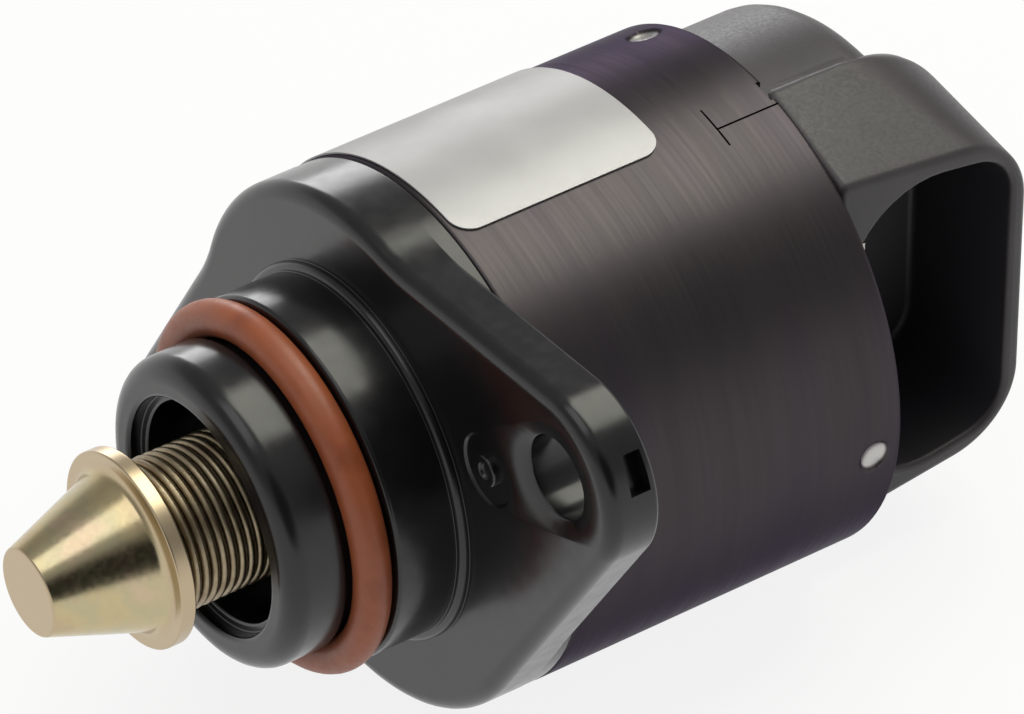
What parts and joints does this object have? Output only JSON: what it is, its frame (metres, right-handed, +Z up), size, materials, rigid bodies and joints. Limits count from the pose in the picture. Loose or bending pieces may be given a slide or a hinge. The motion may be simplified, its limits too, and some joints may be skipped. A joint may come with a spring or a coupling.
{
  "type": "idle air control valve",
  "caption": "Can-type stepper motor with a flanged black nose, a sealing ring, a sprung conical pintle and a moulded connector socket; it meters idle air past a throttle.",
  "frame": {"origin": "where the motor axis meets the flange's mounting face", "axes": "-X along the motor axis towards the pintle, -Y the way the connector socket opens, +Z up"},
  "size_m": [0.0684, 0.053, 0.0355],
  "materials": {
    "housing_plastic": "glossy black moulding",
    "cover_plastic": "fine satin moulding",
    "seal_rubber": "orange-brown seal",
    "pintle_plate": "yellow zinc plate",
    "bright_steel": "turned",
    "spring_steel": "oiled wire",
    "bush_bronze": "sintered",
    "bearing_steel": "ground",
    "hub_plastic": "moulded",
    "magnet_ferrite": "sintered ring",
    "stator_steel": "pressed sheet",
    "bobbin_plastic": "moulded",
    "winding_copper": "enamelled wire",
    "can_steel": "drawn with fine lines round it",
    "label_film": "bare silver-white film",
    "terminal_tin": "tinned"
  },
  "bodies": {
    "housing": {"front_housing": "housing_plastic", "seal_ring": "seal_rubber", "guide_bush": "bush_bronze", "spring_washer": "bright_steel", "pintle_spring": "spring_steel", "can_sleeve": "can_steel", "label": "label_film", "bearing_outer_race": "bearing_steel", "bearing_retainer": "bright_steel", "front_stator_cup": "stator_steel", "front_stator_plate": "stator_steel", "front_bobbin": "bobbin_plastic", "front_winding": "winding_copper", "rear_stator_cup": "stator_steel", "rear_stator_plate": "stator_steel", "rear_bobbin": "bobbin_plastic", "rear_winding": "winding_copper", "rear_bush": "bush_bronze", "thrust_washer": "bright_steel", "rear_cover": "cover_plastic", "terminal_1": "terminal_tin", "terminal_2": "terminal_tin", "terminal_3": "terminal_tin", "terminal_4": "terminal_tin"},
    "rotor": {"rotor_hub": "hub_plastic", "rotor_nut": "bush_bronze", "rotor_magnet": "magnet_ferrite", "bearing_inner_race": "bearing_steel"},
    "pintle": {"pintle": "pintle_plate", "lead_screw": "bright_steel"},
    "cage": {"bearing_cage": "bush_bronze", "bearing_balls": "bearing_steel"}
  },
  "joints": [
    {"name": "rotor_spin", "type": "hinge", "parent": "housing", "child": "rotor", "pos_m": [0, 0, 0], "axis": [1, 0, 0], "range_deg": [0, 2880]},
    {"name": "pintle_slide", "type": "slide", "parent": "housing", "child": "pintle", "axis": [-1, 0, 0], "range_m": [0, 0.008], "deforming": ["pintle_spring"]},
    {"name": "cage_spin", "type": "hinge", "parent": "housing", "child": "cage", "pos_m": [0, 0, 0], "axis": [1, 0, 0], "range_deg": [0, 1204]}
  ],
  "couplings": [
    {"joint": "pintle_slide", "follows": "rotor_spin", "m_per_rad": 0.00015915},
    {"joint": "cage_spin", "follows": "rotor_spin", "ratio": 0.41793}
  ]
}
